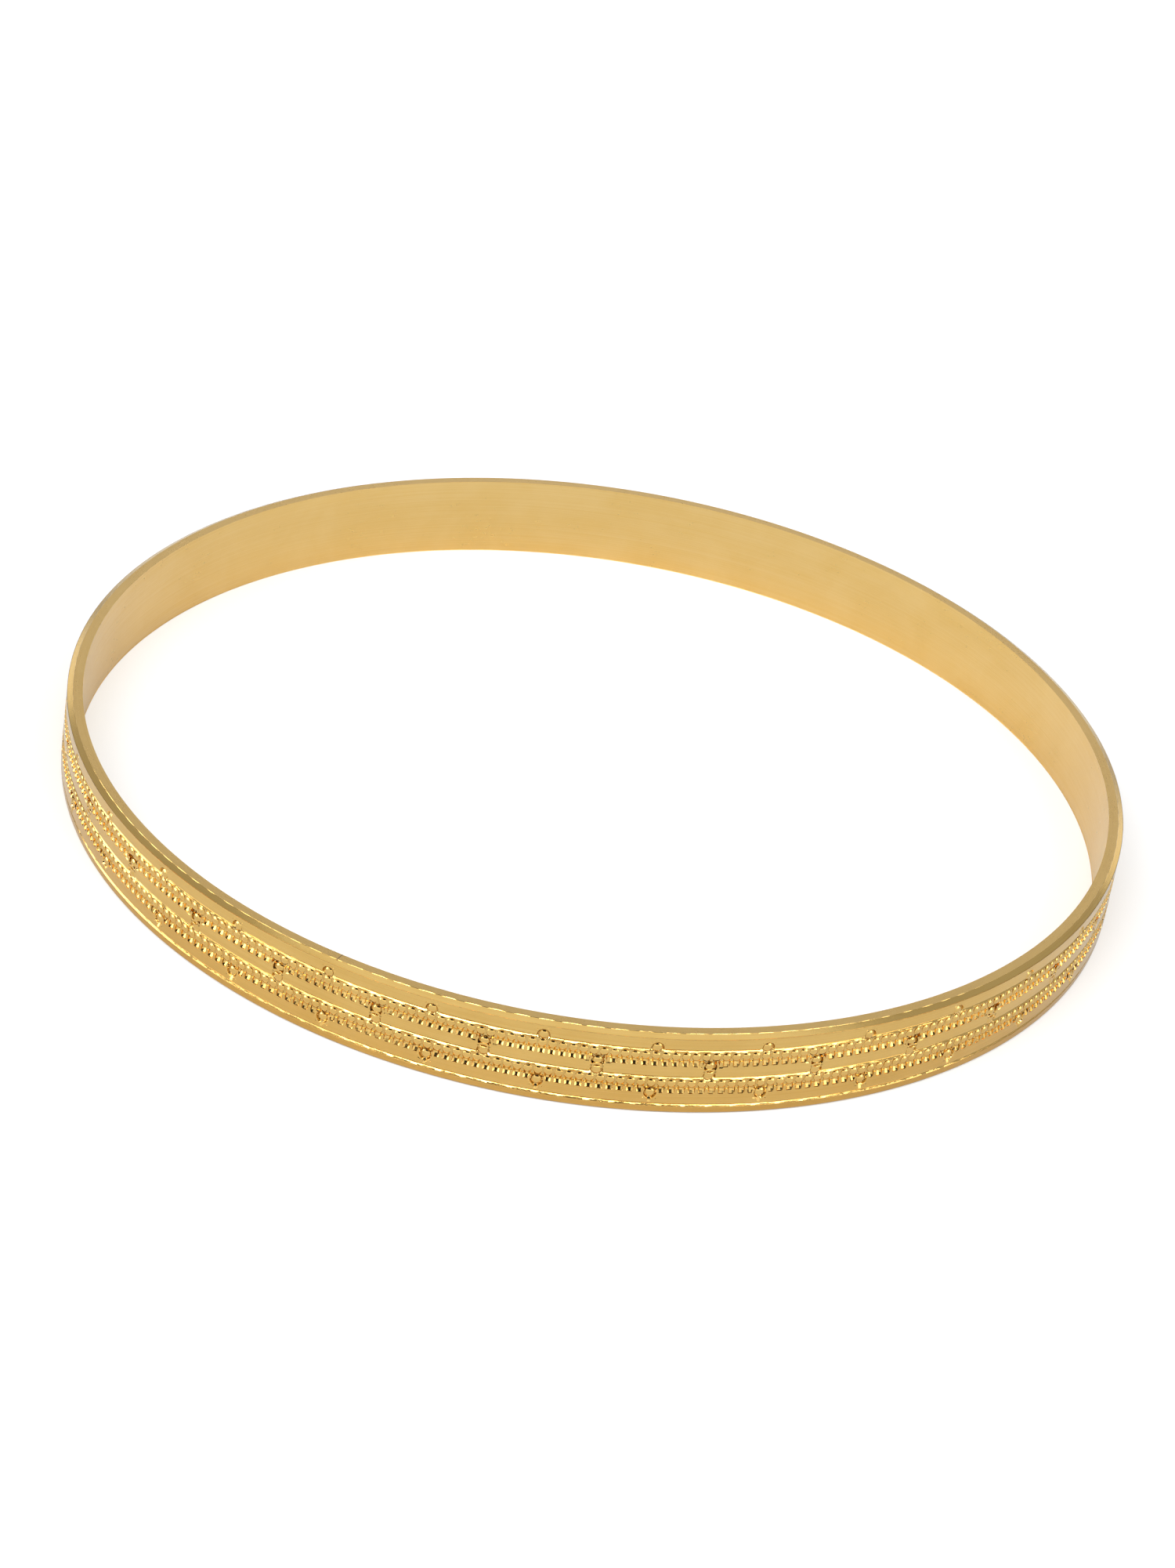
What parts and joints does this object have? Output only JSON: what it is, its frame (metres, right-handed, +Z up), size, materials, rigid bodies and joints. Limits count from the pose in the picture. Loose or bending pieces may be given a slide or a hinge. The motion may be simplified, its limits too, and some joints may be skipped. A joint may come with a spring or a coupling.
{
  "type": "bangle bracelet",
  "caption": "Rigid closed round bangle: a flat gold-coloured metal strip with plain rims, a brick-like pattern and beaded grooves round its outside.",
  "frame": {"origin": "on the ring axis, in the plane of the lower rim that the bangle rests on", "axes": "+Z up along the ring axis; the soldered joint is 22.5 degrees from -Y towards -X"},
  "size_m": [0.0654, 0.0654, 0.0052],
  "materials": {
    "gold_plate": "satin to polished gold-coloured plating",
    "gold_solder": "filed and plated solder"
  },
  "bodies": {
    "root": {"band": "gold_plate", "solder_seam": "gold_solder"}
  },
  "joints": []
}
